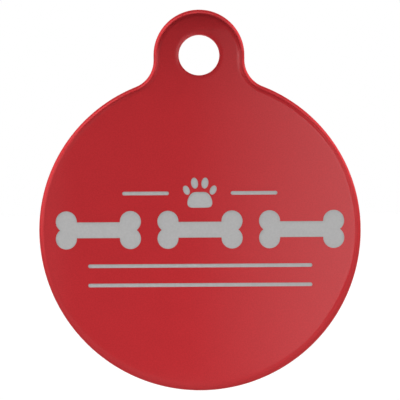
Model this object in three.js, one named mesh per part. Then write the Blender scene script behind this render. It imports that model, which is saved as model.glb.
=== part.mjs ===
// Round pet tag: one stamped aluminium blank, a disc with a rounded ear and a punched ring hole.
// Millimetres, +Z up as the tag hangs, the front facing -Y.
// The origin is the centre of the ring hole, halfway through the sheet.
import * as THREE from 'three';

// Outline
const discRadius = 15.875; // lower half of the disc, a 1 1/4 inch blank
const shoulderRadius = 15.19; // upper half of the disc, which is drawn a little tighter
const neckFilletRadius = 2.82; // hollow blend from each shoulder into the side of the ear
const earRadius = 4.49; // round top of the ear and half its width
const earSideLength = 0.49; // straight side of the ear between the fillet and the round top
const holeRadius = 2.01; // ring hole, on the centre of the ear's round top

// Section: the press draws the front face down in a shallow dish, which runs into the round of the edge
const sheetThickness = 1.6;
const rimDishWidth = 0.3;
const rimDishTilt = THREE.MathUtils.degToRad(6); // slope of the dish where the round begins
const rimRoundRadius = 0.55;
const holeDishWidth = 0.35; // the same at the ring hole
const holeDishTilt = THREE.MathUtils.degToRad(4);
const holeRoundRadius = 0.08;
const backEdgeRadius = 0.2; // back edges, broken by tumbling

// Finish: a red dyed anodic film over a satin blast
const dyeColour = 0xb62f32;
const satinRoughness = 0.42;
const filmMetalness = 0.9;

// Facets
const chordError = 0.004; // the most that a facet cuts inside its arc
const dishSteps = 2;
const roundSteps = 7;
const backEdgeSteps = 3;

const quarterTurn = Math.PI / 2;
const halfTurn = Math.PI;

// The drawing plane of the blank: x to the right, y up, z out of the front face, the hole at the origin.
// Each shoulder arc meets the disc's arc on the horizontal diameter, so its centre lies on that diameter.
// Each fillet touches the side of the ear and its shoulder, which sets how far the ear stands above the disc.
const shoulderShift = discRadius - shoulderRadius;
const filletX = earRadius + neckFilletRadius;
const filletRise = Math.sqrt((shoulderRadius + neckFilletRadius) ** 2 - (filletX - shoulderShift) ** 2);
const shoulderEnd = Math.atan2(filletRise, filletX - shoulderShift);
const filletY = -earSideLength;
const discY = filletY - filletRise;

// The right half of the outline, from the lowest point to the highest.
// An arc with bulge 1 is round outwards, and one with bulge -1 is hollow.
const lowerDisc = {
  centre: new THREE.Vector2(0, discY),
  radius: discRadius,
  start: -quarterTurn,
  end: 0,
  bulge: 1,
};
const shoulder = {
  centre: new THREE.Vector2(shoulderShift, discY),
  radius: shoulderRadius,
  start: 0,
  end: shoulderEnd,
  bulge: 1,
};
const neckFillet = {
  centre: new THREE.Vector2(filletX, filletY),
  radius: neckFilletRadius,
  start: shoulderEnd + halfTurn,
  end: halfTurn,
  bulge: -1,
};
const earTop = {
  centre: new THREE.Vector2(0, 0),
  radius: earRadius,
  start: 0,
  end: quarterTurn,
  bulge: 1,
};
// The hole runs the other way round, so that its wall faces inwards.
const ringHole = {
  centre: new THREE.Vector2(0, 0),
  radius: holeRadius,
  start: 2 * halfTurn,
  end: 0,
  bulge: -1,
};

// Points along an arc moved into the metal by inset. Every inset gives the same number of points.
function arcPoints(arc, inset) {
  const facetAngle = 2 * Math.acos(1 - chordError / arc.radius);
  const steps = Math.ceil(Math.abs(arc.end - arc.start) / facetAngle);
  const reach = arc.radius - arc.bulge * inset;
  return Array.from({ length: steps + 1 }, (_, step) => {
    const angle = THREE.MathUtils.lerp(arc.start, arc.end, step / steps);
    return new THREE.Vector2(reach * Math.cos(angle), reach * Math.sin(angle)).add(arc.centre);
  });
}

// The outline moved into the metal by inset, as a loop that runs anticlockwise seen from the front.
// Arcs that touch share a point, and the straight side of the ear joins the fillet to the round top.
function outlineLoop(inset) {
  const right = [
    ...arcPoints(lowerDisc, inset),
    ...arcPoints(shoulder, inset).slice(1),
    ...arcPoints(neckFillet, inset).slice(1),
    ...arcPoints(earTop, inset),
  ];
  const left = right.slice(1, -1).reverse().map((point) => new THREE.Vector2(-point.x, point.y));
  return [...right, ...left];
}

function holeLoop(inset) {
  return arcPoints(ringHole, inset).slice(1);
}

// One edge in section, from the front face to the back: an arc for the dish, a tighter arc for the round,
// a straight wall, and a quarter circle at the back.
function edgeSection(dishWidth, dishTilt, roundRadius) {
  const front = sheetThickness / 2;
  const back = -sheetThickness / 2;
  const dishRadius = dishWidth / Math.sin(dishTilt);
  const dishDepth = dishRadius * (1 - Math.cos(dishTilt));
  const roundWidth = roundRadius * (1 - Math.sin(dishTilt));
  const section = [];
  for (let step = 0; step < dishSteps; step += 1) {
    const turn = (dishTilt * step) / dishSteps;
    section.push({
      inset: roundWidth + dishWidth - dishRadius * Math.sin(turn),
      height: front - dishRadius * (1 - Math.cos(turn)),
    });
  }
  for (let step = 0; step <= roundSteps; step += 1) {
    const turn = THREE.MathUtils.lerp(dishTilt, quarterTurn, step / roundSteps);
    section.push({
      inset: roundRadius * (1 - Math.sin(turn)),
      height: front - dishDepth - roundRadius * (Math.cos(dishTilt) - Math.cos(turn)),
    });
  }
  for (let step = 0; step <= backEdgeSteps; step += 1) {
    const turn = (quarterTurn * step) / backEdgeSteps;
    section.push({
      inset: backEdgeRadius * (1 - Math.cos(turn)),
      height: back + backEdgeRadius * (1 - Math.sin(turn)),
    });
  }
  return section;
}

// Lofts a loop down its edge section and returns the first vertex of the front ring and of the back ring.
function loftEdge(loopAt, section, positions, triangles) {
  const rings = section.map(({ inset, height }) => {
    const first = positions.length / 3;
    const loop = loopAt(inset);
    loop.forEach((point) => positions.push(point.x, point.y, height));
    return { first, size: loop.length };
  });
  rings.slice(1).forEach((lower, index) => {
    const upper = rings[index];
    for (let here = 0; here < lower.size; here += 1) {
      const next = (here + 1) % lower.size;
      triangles.push(upper.first + here, lower.first + here, lower.first + next);
      triangles.push(upper.first + here, lower.first + next, upper.first + next);
    }
  });
  return { front: rings[0].first, back: rings[rings.length - 1].first };
}

// Fills one flat face between its outline and its hole.
function fillFace(outline, hole, outlineFirst, holeFirst, facesFront, triangles) {
  const vertexOf = (corner) => {
    const onHole = corner - outline.length;
    return onHole < 0 ? outlineFirst + corner : holeFirst + onHole;
  };
  THREE.ShapeUtils.triangulateShape(outline, [hole]).forEach((face) => {
    const corners = face.map(vertexOf);
    triangles.push(...(facesFront ? corners : corners.reverse()));
  });
}

function blankGeometry() {
  const positions = [];
  const triangles = [];
  const rimSection = edgeSection(rimDishWidth, rimDishTilt, rimRoundRadius);
  const holeSection = edgeSection(holeDishWidth, holeDishTilt, holeRoundRadius);
  const rim = loftEdge(outlineLoop, rimSection, positions, triangles);
  const hole = loftEdge(holeLoop, holeSection, positions, triangles);
  const frontOutline = outlineLoop(rimSection[0].inset);
  const frontHole = holeLoop(holeSection[0].inset);
  fillFace(frontOutline, frontHole, rim.front, hole.front, true, triangles);
  fillFace(outlineLoop(backEdgeRadius), holeLoop(backEdgeRadius), rim.back, hole.back, false, triangles);
  const geometry = new THREE.BufferGeometry();
  geometry.setAttribute('position', new THREE.Float32BufferAttribute(positions, 3));
  geometry.setIndex(triangles);
  geometry.computeVertexNormals();
  return geometry;
}

const tag = new THREE.Group();
const tagBlank = new THREE.Mesh(
  blankGeometry(),
  new THREE.MeshStandardMaterial({ color: dyeColour, roughness: satinRoughness, metalness: filmMetalness }),
);
tagBlank.name = 'tag_blank';
tagBlank.rotation.x = quarterTurn; // stands the drawing plane upright, front to -Y
tag.add(tagBlank);

export default tag;
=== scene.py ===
import math
from collections import namedtuple

import bmesh
import bpy
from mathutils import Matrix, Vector


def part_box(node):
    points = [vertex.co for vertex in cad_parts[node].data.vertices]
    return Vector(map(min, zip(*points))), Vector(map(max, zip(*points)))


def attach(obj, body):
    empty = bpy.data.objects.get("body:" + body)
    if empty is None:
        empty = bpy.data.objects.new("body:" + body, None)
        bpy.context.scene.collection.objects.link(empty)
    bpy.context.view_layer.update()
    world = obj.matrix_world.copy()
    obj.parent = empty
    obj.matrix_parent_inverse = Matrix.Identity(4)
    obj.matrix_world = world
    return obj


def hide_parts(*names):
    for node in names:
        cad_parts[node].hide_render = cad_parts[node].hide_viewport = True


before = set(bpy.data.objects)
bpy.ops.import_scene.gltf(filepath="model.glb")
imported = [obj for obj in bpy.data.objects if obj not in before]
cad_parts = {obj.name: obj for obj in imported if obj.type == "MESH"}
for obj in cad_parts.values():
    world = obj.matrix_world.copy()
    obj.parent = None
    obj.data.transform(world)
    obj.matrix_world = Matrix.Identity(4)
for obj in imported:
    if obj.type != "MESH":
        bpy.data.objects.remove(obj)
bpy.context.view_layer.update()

# A round pet tag: one stamped blank with a dyed satin film and engraved marks.
# Sizes are in metres, and angles in radians where nothing else is said. The tag hangs in the XZ plane, with
# its front to -Y and the centre of its ring hole at the origin. A two-number point is (x, z) in that plane.
MM = 0.001
QUARTER_TURN = math.pi / 2
FULL_TURN = 2 * math.pi
TO_FRONT = Vector((0, -1, 0))

# Outline of the blank, from the box of its solid and the radii of its arcs
NODE = "tag_blank"
node_low, node_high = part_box(NODE)
FRONT_Y = node_low.y
BACK_Y = node_high.y
DISC_RADIUS = node_high.x
DISC_Z = node_low.z + DISC_RADIUS
EAR_RADIUS = node_high.z
SHOULDER_RADIUS = 15.19 * MM
NECK_FILLET_RADIUS = 2.82 * MM
HOLE_RADIUS = 2.01 * MM

# Edges in section. The front face falls in a shallow dish, which runs into the round of the edge.
Edge = namedtuple("Edge", "dish_width dish_slope round_radius")
RIM_EDGE = Edge(dish_width=0.3 * MM, dish_slope=math.radians(6), round_radius=0.55 * MM)
HOLE_EDGE = Edge(dish_width=0.35 * MM, dish_slope=math.radians(4), round_radius=0.08 * MM)
BACK_EDGE_RADIUS = 0.2 * MM
FLAT_STRIP = 0.05 * MM  # flat metal beside each edge, which keeps the faces' shading flat

# Facets. A chord error is the most that a facet cuts inside its arc.
OUTLINE_CHORD_ERROR = 0.0006 * MM
MARK_CHORD_ERROR = 0.001 * MM
DISH_STEPS = 6
ROUND_STEPS = 14
BACK_EDGE_STEPS = 6
PAD_STEPS = 72
TOE_STEPS = 48

# Engraved marks: three rows, by the height of each row's middle over the disc's centre
MARK_DEPTH = 0.07 * MM
RULE_WIDTH = 0.36 * MM
PAW_ROW_Z = 3.6 * MM
PAW_HEIGHT = 3.3 * MM
PAW_RULE_LENGTH = 4.6 * MM
PAW_RULE_X = 5.35 * MM
BONE_ROW_Z = 0.0 * MM
BONE_COUNT = 3
BONE_PITCH = 10.02 * MM
BONE_LENGTH = 8.4 * MM
BONE_LOBE_RADIUS = 1.04 * MM
BONE_LOBE_OFFSET = 0.84 * MM
BONE_SHAFT_HALF = 0.78 * MM
RULE_ROW_Z = -4.5 * MM
RULE_LENGTH = 22.1 * MM
RULE_PITCH = 1.9 * MM

# The paw print, in shares of its height: a heel pad that narrows upwards, and two toes on each side
PAD_HALF_WIDTH = 0.36
PAD_TAPER = 0.28
PAD_HALF_HEIGHT = 0.27
PAD_DROP = 0.20
PAD_WAVE_HEIGHT = 0.035
PAD_WAVE_COUNT = 3
Toe = namedtuple("Toe", "across up half_width half_height lean")
INNER_TOE = Toe(across=0.155, up=0.30, half_width=0.105, half_height=0.165, lean=math.radians(8))
OUTER_TOE = Toe(across=0.40, up=0.09, half_width=0.095, half_height=0.145, lean=math.radians(24))

# The photograph's frame: a pixel's size at the tag, where the disc's centre lies, and the tag's slight turn
FRAME_PIXELS = 400
PIXEL = 0.098774 * MM
DISC_CENTRE_PIXEL = (200.0, 229.6)
TAG_TURN = math.radians(0.35)
CAMERA_DISTANCE = 0.30
SENSOR_WIDTH = 36.0  # in millimetres, like the focal length

# Dyed film, in scene-linear colour: satin metal under a red dye, clear at its surface
DYE = (0.495, 0.0278, 0.0336)
DYE_SPREAD = 0.06
DYE_CLOUD = 1.6 * MM
DYE_CLOUD_SHARE = 0.2
DYE_SPECK = 0.13 * MM
EDGE_TINT = (1, 0.2, 0.2, 1)  # at grazing angles
SATIN_ROUGHNESS = 0.45
SATIN_SPREAD = 0.03
SATIN_GRAIN = 0.09 * MM
SATIN_STRENGTH = 0.12
SATIN_DEPTH = 0.01 * MM
FILM_SHEEN = 0.15
FILM_IOR = 1.76
FILM_SHEEN_ROUGHNESS = 0.075

# Streaks that the shear leaves across the wall. They fade out as the surface turns to the front or the back.
STREAK_WIDTH = 0.12 * MM
STREAK_STRETCH = 12.5  # length over width
STREAK_HEIGHT = 2.5  # times the satin grain's
STREAK_FADE = (0.05, 0.25)  # share of the normal along Y

# Engraved metal
BARE_GREY = (0.5, 0.5, 0.5)
BARE_SPREAD = 0.04
BARE_MOTTLE = 0.2 * MM
BARE_METALLIC = 0.25
BARE_ROUGHNESS = 0.7
HATCH_PITCH = 0.09 * MM
HATCH_WAVER = 0.6
HATCH_STRENGTH = 0.1
HATCH_DEPTH = 0.01 * MM
WAVE_PERIOD = math.pi / 10  # of the wave texture at scale 1

# Noise lies mostly between these values
NOISE_RANGE = (0.3, 0.7)

# Floor and room. A glow, a light or a radiance of 1 is white.
WHITE = (1, 1, 1, 1)
FLOOR_GAP = 6 * MM
FLOOR_HALF = 2.4
FLOOR_FRONT = 0.12
FLOOR_COLOUR = (0.8, 0.8, 0.8)
FLOOR_SPREAD = 0.01
FLOOR_MOTTLE = 40 * MM
FLOOR_SEEN_GLOW = 0.30
FLOOR_MIRRORED_GLOW = 0.19
SOFT_LIGHT = 0.29
ROOM_LIGHT = 0.1
ROOM_FADE = (-0.1, 0.2)  # share of the direction along Y

# Black card over the ear
FLAG_WIDTH = 80 * MM
FLAG_LOW = 3.6 * MM
FLAG_HIGH = 13 * MM
FLAG_Y = -20 * MM
FLAG_COLOUR = (0.02, 0.02, 0.02)
FLAG_SPREAD = 0.25
FLAG_NAP = 1 * MM

# Panels in front of the tag. The strip and the wing stand side by side near the lens and meet at one edge.
LENS_PANEL_Y = -0.25
LENS_PANEL_TOP = 18 * MM
LENS_PANEL_JOINT = 29.2 * MM
LENS_PANEL_RADIANCE = 4.4
LEFT_PANEL_Y = -0.12
LEFT_PANEL_RADIANCE = 0.64

# A round stretch of an outline
Arc = namedtuple("Arc", "centre radius start end bulge")
OUTWARD = 1
HOLLOW = -1


def arc_points(arc, inset=0.0, chord_error=MARK_CHORD_ERROR):
    """Points along an arc moved into the metal by inset, the same number at every inset."""
    facet = 2 * math.acos(1 - chord_error / arc.radius)
    sweep = arc.end - arc.start
    steps = math.ceil(abs(sweep) / facet)
    reach = arc.radius - arc.bulge * inset
    points = []
    for step in range(steps + 1):
        angle = arc.start + sweep * step / steps
        points.append(Vector(arc.centre) + reach * Vector((math.cos(angle), math.sin(angle))))
    return points


def blank_arcs():
    """The right half of the blank's outline, from its lowest point to its highest."""
    shift = DISC_RADIUS - SHOULDER_RADIUS
    fillet_x = EAR_RADIUS + NECK_FILLET_RADIUS
    run = fillet_x - shift
    rise = math.sqrt((SHOULDER_RADIUS + NECK_FILLET_RADIUS) ** 2 - run ** 2)
    lean = math.atan2(rise, run)
    return [
        Arc((0, DISC_Z), DISC_RADIUS, -QUARTER_TURN, 0, OUTWARD),
        Arc((shift, DISC_Z), SHOULDER_RADIUS, 0, lean, OUTWARD),
        Arc((fillet_x, DISC_Z + rise), NECK_FILLET_RADIUS, lean + math.pi, math.pi, HOLLOW),
        Arc((0, 0), EAR_RADIUS, 0, QUARTER_TURN, OUTWARD),
    ]


def outline_loop(inset):
    """The whole outline. The fillet and the ear don't touch: the ear's straight side joins them."""
    disc, shoulder, fillet, ear = [arc_points(arc, inset, OUTLINE_CHORD_ERROR) for arc in blank_arcs()]
    right = disc + shoulder[1:] + fillet[1:] + ear
    left = [Vector((-point.x, point.y)) for point in reversed(right[1:-1])]
    return right + left


def hole_loop(inset):
    """The ring hole, which runs the opposite way to the outline."""
    hole = Arc((0, 0), HOLE_RADIUS, FULL_TURN, 0, HOLLOW)
    return arc_points(hole, inset, OUTLINE_CHORD_ERROR)[1:]


def edge_depth(edge):
    """How far the front edge falls below the face."""
    return edge.dish_width * math.tan(edge.dish_slope / 2) + edge.round_radius * math.cos(edge.dish_slope)


def edge_section(edge):
    """One edge in section as (inset, y), from a strip of the front face to a strip of the back."""
    dish_radius = edge.dish_width / math.sin(edge.dish_slope)
    dish_start = edge.dish_width + edge.round_radius * (1 - math.sin(edge.dish_slope))
    round_end_y = FRONT_Y + edge_depth(edge)
    section = [(dish_start + FLAT_STRIP, FRONT_Y)]
    for step in range(DISH_STEPS):
        turn = edge.dish_slope * step / DISH_STEPS
        inset = dish_start - dish_radius * math.sin(turn)
        section.append((inset, FRONT_Y + dish_radius * (1 - math.cos(turn))))
    for step in range(ROUND_STEPS + 1):
        turn = edge.dish_slope + (QUARTER_TURN - edge.dish_slope) * step / ROUND_STEPS
        inset = edge.round_radius * (1 - math.sin(turn))
        section.append((inset, round_end_y - edge.round_radius * math.cos(turn)))
    for step in range(BACK_EDGE_STEPS + 1):
        turn = QUARTER_TURN * step / BACK_EDGE_STEPS
        inset = BACK_EDGE_RADIUS * (1 - math.cos(turn))
        section.append((inset, BACK_Y - BACK_EDGE_RADIUS * (1 - math.sin(turn))))
    section.append((BACK_EDGE_RADIUS + FLAT_STRIP, BACK_Y))
    return section


def rule_loop(centre_x, centre_z, length):
    """A straight rule with round ends."""
    half = (length - RULE_WIDTH) / 2
    right = Arc((centre_x + half, centre_z), RULE_WIDTH / 2, -QUARTER_TURN, QUARTER_TURN, OUTWARD)
    left = Arc((centre_x - half, centre_z), RULE_WIDTH / 2, QUARTER_TURN, 3 * QUARTER_TURN, OUTWARD)
    return arc_points(right) + arc_points(left)


def bone_loop(centre_x, centre_z):
    """A straight shaft between two pairs of round lobes."""
    lobe_x = BONE_LENGTH / 2 - BONE_LOBE_RADIUS
    notch = math.asin(BONE_LOBE_OFFSET / BONE_LOBE_RADIUS)
    seat = math.asin((BONE_LOBE_OFFSET - BONE_SHAFT_HALF) / BONE_LOBE_RADIUS)
    lobe = Arc((lobe_x, BONE_LOBE_OFFSET), BONE_LOBE_RADIUS, -notch, math.pi + seat, OUTWARD)
    upper_right = arc_points(lobe)
    upper = upper_right + [Vector((-point.x, point.y)) for point in reversed(upper_right)]
    lower = [Vector((point.x, -point.y)) for point in reversed(upper[1:-1])]
    return [point + Vector((centre_x, centre_z)) for point in upper + lower]


def pad_loop(centre_x, centre_z):
    """The heel pad of a paw print: a round that narrows upwards, with a slight wave along its edge."""
    loop = []
    for step in range(PAD_STEPS):
        angle = FULL_TURN * step / PAD_STEPS
        x = PAD_HALF_WIDTH * PAW_HEIGHT * math.cos(angle) * (1 - PAD_TAPER * math.sin(angle))
        wave = PAD_WAVE_HEIGHT * math.sin(PAD_WAVE_COUNT * angle)
        z = PAW_HEIGHT * (PAD_HALF_HEIGHT * math.sin(angle) - PAD_DROP + wave)
        loop.append(Vector((centre_x + x, centre_z + z)))
    return loop


def toe_loop(centre_x, centre_z, toe, side):
    """A leaning ellipse beside the middle of a paw print, on side -1 (left) or 1 (right)."""
    middle_x = centre_x + side * toe.across * PAW_HEIGHT
    middle_z = centre_z + toe.up * PAW_HEIGHT
    lean = -side * toe.lean
    loop = []
    for step in range(TOE_STEPS):
        angle = FULL_TURN * step / TOE_STEPS
        across = toe.half_width * PAW_HEIGHT * math.cos(angle)
        along = toe.half_height * PAW_HEIGHT * math.sin(angle)
        x = across * math.cos(lean) - along * math.sin(lean)
        z = across * math.sin(lean) + along * math.cos(lean)
        loop.append(Vector((middle_x + x, middle_z + z)))
    return loop


def mark_loops():
    """Every engraved outline: the paw print with its rules, the pair of long rules and the bones."""
    paw_z = DISC_Z + PAW_ROW_Z
    loops = [pad_loop(0, paw_z)]
    for side in (-1, 1):
        for toe in (INNER_TOE, OUTER_TOE):
            loops.append(toe_loop(0, paw_z, toe, side))
    for side in (-1, 1):
        rule_z = DISC_Z + RULE_ROW_Z + side * RULE_PITCH / 2
        loops.append(rule_loop(side * PAW_RULE_X, paw_z, PAW_RULE_LENGTH))
        loops.append(rule_loop(0, rule_z, RULE_LENGTH))
    for number in range(BONE_COUNT):
        bone_x = (number - (BONE_COUNT - 1) / 2) * BONE_PITCH
        loops.append(bone_loop(bone_x, DISC_Z + BONE_ROW_Z))
    return loops


def add_ring(mesh, loop, y):
    """A loop's points as vertices at one depth."""
    return [mesh.verts.new((point.x, y, point.y)) for point in loop]


def ring_edges(mesh, ring):
    """The closed chain of edges round a ring of vertices, made where it is missing."""
    edges = []
    for here, there in zip(ring, ring[1:] + ring[:1]):
        edges.append(mesh.edges.get((here, there)) or mesh.edges.new((here, there)))
    return edges


def add_bands(mesh, rings):
    """Faces between each ring and the next."""
    faces = []
    for upper, lower in zip(rings, rings[1:]):
        for here in range(len(upper)):
            there = (here + 1) % len(upper)
            faces.append(mesh.faces.new((upper[here], lower[here], lower[there], upper[there])))
    return faces


def loft_edge(mesh, loop_at, edge):
    """Carries an edge's section round a loop and returns the front ring and the back ring."""
    rings = [add_ring(mesh, loop_at(inset), y) for inset, y in edge_section(edge)]
    add_bands(mesh, rings)
    return rings[0], rings[-1]


def fill(mesh, edges):
    """Flat faces inside closed chains of edges. A chain within another one is a hole."""
    made = bmesh.ops.triangle_fill(mesh, use_beauty=True, use_dissolve=False, edges=edges, normal=TO_FRONT)
    return [item for item in made["geom"] if isinstance(item, bmesh.types.BMFace)]


def build_tag(film, bare):
    """The blank as one closed mesh, with the marks cut into its front face."""
    materials = [film, bare]
    mesh = bmesh.new()
    rim_front, rim_back = loft_edge(mesh, outline_loop, RIM_EDGE)
    hole_front, hole_back = loft_edge(mesh, hole_loop, HOLE_EDGE)
    front_edges = ring_edges(mesh, rim_front) + ring_edges(mesh, hole_front)
    engraved = []
    sharp = []
    for loop in mark_loops():
        top = add_ring(mesh, loop, FRONT_Y)
        bottom = add_ring(mesh, loop, FRONT_Y + MARK_DEPTH)
        engraved += add_bands(mesh, [top, bottom])
        top_edges = ring_edges(mesh, top)
        bottom_edges = ring_edges(mesh, bottom)
        engraved += fill(mesh, bottom_edges)
        front_edges += top_edges
        sharp += top_edges + bottom_edges
    fill(mesh, front_edges)
    fill(mesh, ring_edges(mesh, rim_back) + ring_edges(mesh, hole_back))
    for face in mesh.faces:
        face.smooth = True
    for face in engraved:
        face.material_index = materials.index(bare)
    for edge in sharp:
        edge.smooth = False
    bmesh.ops.recalc_face_normals(mesh, faces=mesh.faces)
    data = bpy.data.meshes.new("tag")
    mesh.to_mesh(data)
    mesh.free()
    for material in materials:
        data.materials.append(material)
    tag = bpy.data.objects.new("tag", data)
    bpy.context.scene.collection.objects.link(tag)
    return tag


def add_node(tree, kind, inputs=None, **settings):
    """A shader node whose inputs are set by name or number, each to a value or to another node's output."""
    node = tree.nodes.new("ShaderNode" + kind)
    for name, value in settings.items():
        setattr(node, name, value)
    for name, value in (inputs or {}).items():
        if isinstance(value, bpy.types.NodeSocket):
            tree.links.new(value, node.inputs[name])
        else:
            node.inputs[name].default_value = value
    return node


def add_math(tree, operation, first, second=0.0):
    """The result of one math node."""
    return add_node(tree, "Math", {0: first, 1: second}, operation=operation).outputs[0]


def add_noise(tree, place, size, detail=2.0):
    """Noise with grains of the given size, from 0 to 1 and about 0.5 on average."""
    return add_node(tree, "TexNoise", {"Vector": place, "Scale": 1 / size, "Detail": detail}).outputs["Fac"]


def add_range(tree, value, low, high, source=NOISE_RANGE):
    """A value mapped from its source range to low and high, and held between them."""
    inputs = {"Value": value, "From Min": source[0], "From Max": source[1], "To Min": low, "To Max": high}
    return add_node(tree, "MapRange", inputs).outputs[0]


def add_shades(tree, value, colour, spread):
    """Shades of a colour, darker by the spread where the value is 0 and paler by it where the value is 1."""
    ramp = add_node(tree, "ValToRGB", {"Fac": value})
    ramp.color_ramp.elements[0].color = [part * (1 - spread) for part in colour] + [1]
    ramp.color_ramp.elements[1].color = [part * (1 + spread) for part in colour] + [1]
    return ramp.outputs["Color"]


def new_material(name):
    """A material, its node tree and its shader."""
    material = bpy.data.materials.new(name)
    material.use_nodes = True
    return material, material.node_tree, material.node_tree.nodes["Principled BSDF"]


def film_material():
    """Dyed film: faint clouds and specks in the dye, a blasted grain, and the shear's streaks on the wall."""
    material, tree, shader = new_material("dyed_film")
    coordinates = add_node(tree, "TexCoord")
    place = coordinates.outputs["Object"]
    facing = add_node(tree, "SeparateXYZ", {0: coordinates.outputs["Normal"]}).outputs["Y"]
    wall = add_range(tree, add_math(tree, "ABSOLUTE", facing), 1, 0, STREAK_FADE)

    cloud = add_range(tree, add_noise(tree, place, DYE_CLOUD), 0, DYE_CLOUD_SHARE)
    speck = add_range(tree, add_noise(tree, place, DYE_SPECK, detail=0.0), 0, 1 - DYE_CLOUD_SHARE)
    colour = add_shades(tree, add_math(tree, "ADD", cloud, speck), DYE, DYE_SPREAD)

    grain = add_noise(tree, place, SATIN_GRAIN)
    stretch = {"Vector": place, "Scale": (1, 1 / STREAK_STRETCH, 1)}
    stretched = add_node(tree, "Mapping", stretch).outputs["Vector"]
    streak = add_math(tree, "MULTIPLY", add_noise(tree, stretched, STREAK_WIDTH), wall)
    height = add_math(tree, "ADD", grain, add_math(tree, "MULTIPLY", streak, STREAK_HEIGHT))
    bump = add_node(tree, "Bump", {"Height": height, "Strength": SATIN_STRENGTH, "Distance": SATIN_DEPTH})
    rough = add_range(tree, grain, SATIN_ROUGHNESS - SATIN_SPREAD, SATIN_ROUGHNESS + SATIN_SPREAD)

    tree.links.new(colour, shader.inputs["Base Color"])
    tree.links.new(bump.outputs["Normal"], shader.inputs["Normal"])
    tree.links.new(rough, shader.inputs["Roughness"])
    shader.inputs["Metallic"].default_value = 1.0
    shader.inputs["Specular Tint"].default_value = EDGE_TINT
    shader.inputs["Coat Weight"].default_value = FILM_SHEEN
    shader.inputs["Coat IOR"].default_value = FILM_IOR
    shader.inputs["Coat Roughness"].default_value = FILM_SHEEN_ROUGHNESS
    return material


def bare_material():
    """Engraved metal: pale grey with the cutter's fine hatch."""
    material, tree, shader = new_material("engraved_metal")
    place = add_node(tree, "TexCoord").outputs["Object"]
    mottle = add_range(tree, add_noise(tree, place, BARE_MOTTLE), 0, 1)
    colour = add_shades(tree, mottle, BARE_GREY, BARE_SPREAD)
    wave = {"Vector": place, "Scale": WAVE_PERIOD / HATCH_PITCH, "Distortion": HATCH_WAVER}
    hatch = add_node(tree, "TexWave", wave, bands_direction="Z").outputs["Fac"]
    bump = add_node(tree, "Bump", {"Height": hatch, "Strength": HATCH_STRENGTH, "Distance": HATCH_DEPTH})
    tree.links.new(colour, shader.inputs["Base Color"])
    tree.links.new(bump.outputs["Normal"], shader.inputs["Normal"])
    shader.inputs["Metallic"].default_value = BARE_METALLIC
    shader.inputs["Roughness"].default_value = BARE_ROUGHNESS
    return material


def make_matt(shader):
    """Takes all gloss off a shader."""
    shader.inputs["Roughness"].default_value = 1.0
    shader.inputs["Specular IOR Level"].default_value = 0.0


def add_camera():
    """A level camera that sees the widest part of the edge, the tag's outline, at the photograph's scale."""
    across = (FRAME_PIXELS / 2 - DISC_CENTRE_PIXEL[0]) * PIXEL
    up = (DISC_CENTRE_PIXEL[1] - FRAME_PIXELS / 2) * PIXEL
    x = across * math.cos(TAG_TURN) + up * math.sin(TAG_TURN)
    z = up * math.cos(TAG_TURN) - across * math.sin(TAG_TURN)
    data = bpy.data.cameras.new("camera")
    data.sensor_width = SENSOR_WIDTH
    data.lens = SENSOR_WIDTH * CAMERA_DISTANCE / (FRAME_PIXELS * PIXEL)
    camera = bpy.data.objects.new("camera", data)
    camera.location = (x, FRONT_Y + edge_depth(RIM_EDGE) - CAMERA_DISTANCE, DISC_Z + z)
    camera.rotation_euler = (QUARTER_TURN, TAG_TURN, 0)
    bpy.context.scene.collection.objects.link(camera)
    bpy.context.scene.camera = camera


def seen_rays(tree):
    """Two outputs: 1 for the camera's own rays, and 1 for rays that are mirrored or pass through glass."""
    path = add_node(tree, "LightPath")
    mirrored = add_math(tree, "MAXIMUM", path.outputs["Is Glossy Ray"], path.outputs["Is Transmission Ray"])
    return path.outputs["Is Camera Ray"], mirrored


def add_floor():
    """A pale matt floor just below the tag, with a faint glow where it is seen and a fainter one mirrored."""
    place = (0, FLOOR_HALF - FLOOR_FRONT, node_low.z - FLOOR_GAP)
    bpy.ops.mesh.primitive_plane_add(size=2 * FLOOR_HALF, location=place)
    floor = bpy.context.object
    floor.name = "floor"
    material, tree, shader = new_material("floor")
    noise = add_noise(tree, add_node(tree, "TexCoord").outputs["Object"], FLOOR_MOTTLE)
    colour = add_shades(tree, add_range(tree, noise, 0, 1), FLOOR_COLOUR, FLOOR_SPREAD)
    direct, mirrored = seen_rays(tree)
    seen_glow = add_math(tree, "MULTIPLY", direct, FLOOR_SEEN_GLOW)
    mirrored_glow = add_math(tree, "MULTIPLY", mirrored, FLOOR_MIRRORED_GLOW)
    glow = add_math(tree, "ADD", seen_glow, mirrored_glow)
    tree.links.new(colour, shader.inputs["Base Color"])
    tree.links.new(glow, shader.inputs["Emission Strength"])
    shader.inputs["Emission Color"].default_value = WHITE
    make_matt(shader)
    floor.data.materials.append(material)


def add_world():
    """White where it is seen or mirrored from behind the tag, a dim room where the camera's side is mirrored,
    and a soft light on matt surfaces."""
    world = bpy.data.worlds.new("studio")
    bpy.context.scene.world = world
    world.use_nodes = True
    tree = world.node_tree
    direction = add_node(tree, "SeparateXYZ", {0: add_node(tree, "TexCoord").outputs["Generated"]})
    behind = add_range(tree, direction.outputs["Y"], ROOM_LIGHT, 1, ROOM_FADE)
    direct, mirrored = seen_rays(tree)
    gathered = add_math(tree, "SUBTRACT", 1, add_math(tree, "MAXIMUM", direct, mirrored))
    strength = add_math(tree, "MULTIPLY", mirrored, behind)
    strength = add_math(tree, "ADD", strength, direct)
    strength = add_math(tree, "ADD", strength, add_math(tree, "MULTIPLY", gathered, SOFT_LIGHT))
    background = tree.nodes["Background"]
    background.inputs["Color"].default_value = WHITE
    tree.links.new(strength, background.inputs["Strength"])


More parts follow.
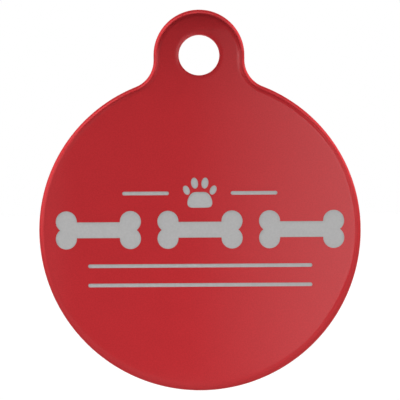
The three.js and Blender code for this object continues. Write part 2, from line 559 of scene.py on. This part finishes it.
def add_flag():
    """A black card over the ear and in front, hidden from the camera, that keeps the front lamps off it."""
    place = (0, FLAG_Y, (FLAG_LOW + FLAG_HIGH) / 2)
    bpy.ops.mesh.primitive_plane_add(size=1, location=place, rotation=(QUARTER_TURN, 0, 0))
    flag = bpy.context.object
    flag.name = "flag"
    flag.scale = (FLAG_WIDTH, FLAG_HIGH - FLAG_LOW, 1)
    flag.visible_camera = False
    material, tree, shader = new_material("flag")
    nap = add_noise(tree, add_node(tree, "TexCoord").outputs["Object"], FLAG_NAP)
    tree.links.new(add_shades(tree, nap, FLAG_COLOUR, FLAG_SPREAD), shader.inputs["Base Color"])
    make_matt(shader)
    flag.data.materials.append(material)


def link_lamp(name, data, place, aim):
    """Puts a lamp at a place, turned to its aim and hidden from the camera."""
    lamp = bpy.data.objects.new(name, data)
    lamp.location = place
    lamp.rotation_euler = (aim - place).to_track_quat("-Z", "Y").to_euler()
    lamp.visible_camera = False
    bpy.context.scene.collection.objects.link(lamp)
    return lamp


def add_far_lamp(name, azimuth, elevation, spread, radiance):
    """A large round softbox far off. Angles are in degrees: azimuth 0 is in front, and 90 to the right."""
    turn = math.radians(azimuth)
    lift = math.radians(elevation)
    place = Vector((math.cos(lift) * math.sin(turn), -math.cos(lift) * math.cos(turn), math.sin(lift)))
    data = bpy.data.lights.new(name, "SUN")
    data.angle = math.radians(spread)
    data.energy = radiance * math.pi * math.tan(data.angle / 2) ** 2
    link_lamp(name, data, place, Vector())


def add_panel(name, y, left, right, bottom, top, radiance):
    """A panel that faces the tag from the front and only shows as a reflection in it. Returns its light."""
    data = bpy.data.lights.new(name, "AREA")
    data.shape = "RECTANGLE"
    data.size = right - left
    data.size_y = top - bottom
    data.energy = radiance * math.pi * data.size * data.size_y
    place = Vector(((left + right) / 2, y, (bottom + top) / 2))
    lamp = link_lamp(name, data, place, place - TO_FRONT)
    lamp.visible_diffuse = False
    return data


def grade_panel(data):
    """Makes a panel's light rise evenly, from nothing at its left end to its radiance at its right end."""
    data.use_nodes = True
    tree = data.node_tree
    place = add_node(tree, "NewGeometry").outputs["Parametric"]
    across = add_node(tree, "SeparateXYZ", {0: place}).outputs["X"]
    tree.links.new(across, tree.nodes["Emission"].inputs["Strength"])


def add_softboxes():
    """Soft light from the front, both sides, above and both back corners."""
    add_far_lamp("front_right", azimuth=32, elevation=10, spread=34, radiance=1.3)
    add_far_lamp("front_left", azimuth=-42, elevation=10, spread=34, radiance=1.28)
    add_far_lamp("side_right", azimuth=68, elevation=12, spread=36, radiance=1.0)
    add_far_lamp("side_left", azimuth=-75, elevation=12, spread=36, radiance=1.47)
    add_far_lamp("right_high", azimuth=62, elevation=46, spread=34, radiance=1.45)
    add_far_lamp("left_high", azimuth=-62, elevation=46, spread=34, radiance=2.2)
    add_far_lamp("overhead", azimuth=0, elevation=62, spread=36, radiance=1.65)
    add_far_lamp("back_right", azimuth=108, elevation=27, spread=40, radiance=1.33)
    add_far_lamp("back_left", azimuth=-108, elevation=27, spread=40, radiance=0.74)


def add_panels():
    """A graded strip and a wing, which mirror as the sheen on the right half, and a dim panel on the left."""
    strip = add_panel(
        "lens_strip", LENS_PANEL_Y, left=-1.8 * MM, right=LENS_PANEL_JOINT,
        bottom=-53 * MM, top=LENS_PANEL_TOP, radiance=LENS_PANEL_RADIANCE
    )
    grade_panel(strip)
    add_panel(
        "lens_wing", LENS_PANEL_Y, left=LENS_PANEL_JOINT, right=68.2 * MM,
        bottom=-36 * MM, top=LENS_PANEL_TOP, radiance=LENS_PANEL_RADIANCE
    )
    add_panel(
        "near_left", LEFT_PANEL_Y, left=-109 * MM, right=-19 * MM,
        bottom=-33 * MM, top=33 * MM, radiance=LEFT_PANEL_RADIANCE
    )


add_camera()
tag = build_tag(film_material(), bare_material())
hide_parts(NODE)
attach(tag, "root")
add_floor()
add_world()
add_flag()
add_softboxes()
add_panels()
bpy.context.scene.view_settings.view_transform = "Standard"
